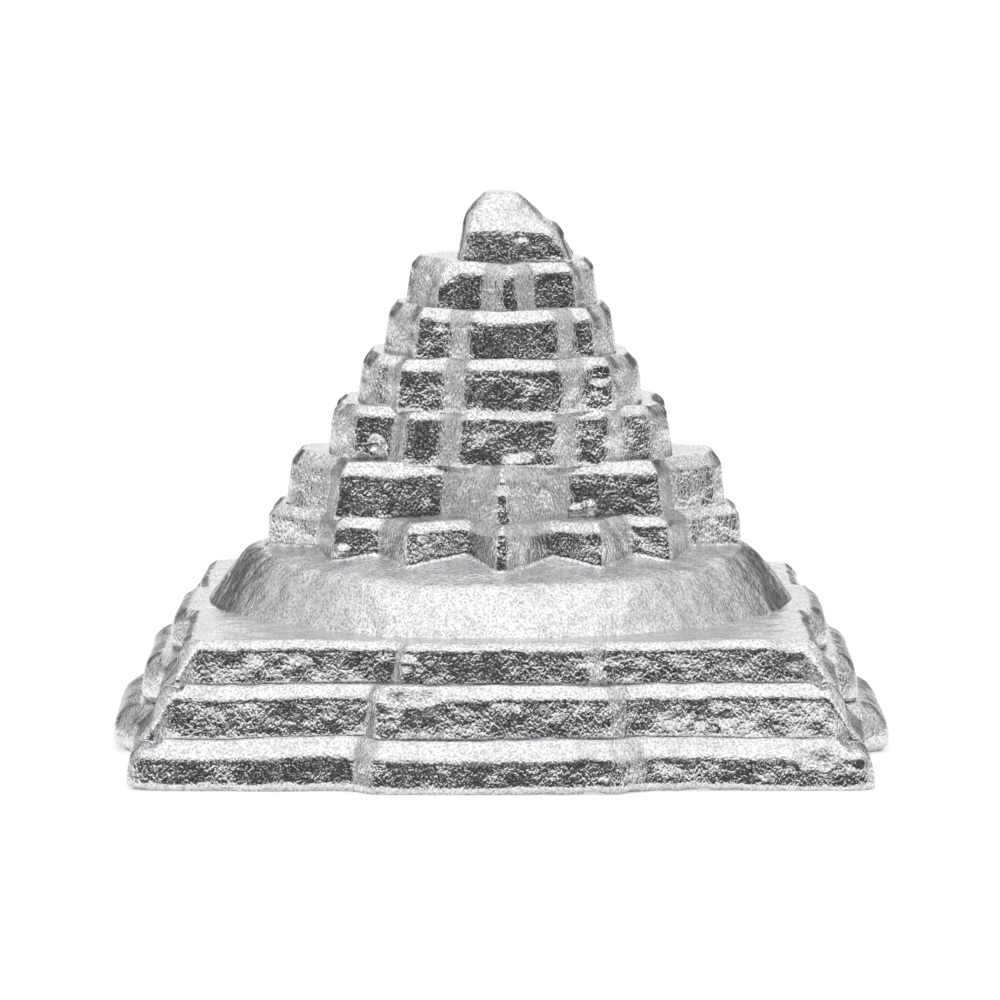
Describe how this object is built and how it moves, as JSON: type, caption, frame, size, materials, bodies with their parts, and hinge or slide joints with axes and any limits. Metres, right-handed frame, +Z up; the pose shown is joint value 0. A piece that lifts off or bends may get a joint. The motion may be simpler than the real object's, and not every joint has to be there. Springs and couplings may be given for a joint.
{
  "type": "shri yantra",
  "caption": "Raised shri yantra in cast silvery metal: square terraces, a round mound and a star-stepped tower that ends in a blunt peak. It rests on its flat underside.",
  "frame": {"origin": "centre of the flat underside of the lowest terrace", "axes": "+Z up, the front faces -Y, +X is to the right of someone who looks at the front"},
  "size_m": [0.0258, 0.0258, 0.0184],
  "materials": {
    "cast_alloy": "bright silver-grey alloy with a granular as-cast skin, not polished"
  },
  "bodies": {
    "root": {"bhupura_lower_terrace": "cast_alloy", "bhupura_middle_terrace": "cast_alloy", "bhupura_upper_terrace": "cast_alloy", "lotus_mound": "cast_alloy", "star_storey_1": "cast_alloy", "star_storey_2": "cast_alloy", "star_storey_3": "cast_alloy", "star_storey_4": "cast_alloy", "star_storey_5": "cast_alloy", "star_storey_6": "cast_alloy", "bindu_cap": "cast_alloy"}
  },
  "joints": []
}
